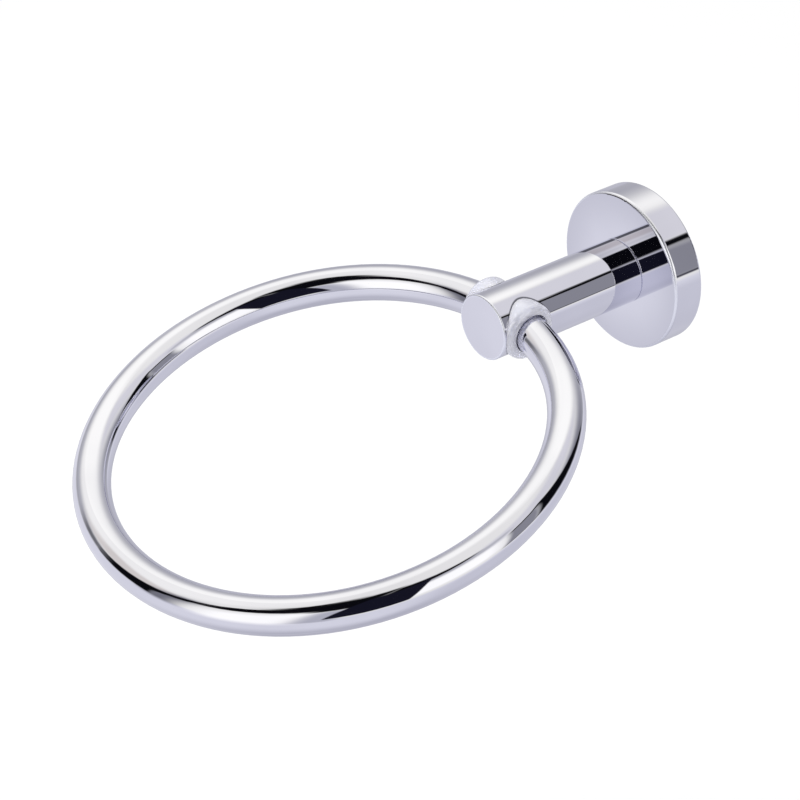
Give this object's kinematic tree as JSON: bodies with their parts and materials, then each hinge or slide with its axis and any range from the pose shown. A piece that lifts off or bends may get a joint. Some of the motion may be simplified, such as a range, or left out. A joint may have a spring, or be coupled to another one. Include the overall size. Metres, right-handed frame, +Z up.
{
  "type": "towel ring",
  "caption": "Wall-mounted chrome towel ring: round flange, straight post and a large tubular ring that swings in two plastic bushes at the post's front end.",
  "frame": {"origin": "middle of the flange's back, on the wall and between the two wall screws", "axes": "+Y into the wall, so the post stands out along -Y; +Z up; X along the ring's axis"},
  "size_m": [0.1608, 0.2095, 0.067],
  "materials": {
    "chrome": "polished",
    "cast_plate": "as cast, zinc",
    "screw_steel": "bright zinc plated",
    "clear_nylon": "milky translucent, moulded"
  },
  "bodies": {
    "bracket": {"wall_plate": "cast_plate", "flange_cover": "chrome", "cover_screw": "screw_steel", "post": "chrome", "post_screw": "screw_steel", "spring_washer": "screw_steel", "locating_pin": "screw_steel", "bush_right": "clear_nylon", "bush_left": "clear_nylon"},
    "ring": {"ring": "chrome"}
  },
  "joints": [
    {"name": "ring_swing", "type": "hinge", "parent": "bracket", "child": "ring", "pos_m": [0, -0.0595, 0], "axis": [1, 0, 0], "range_deg": [-124, 97]}
  ]
}
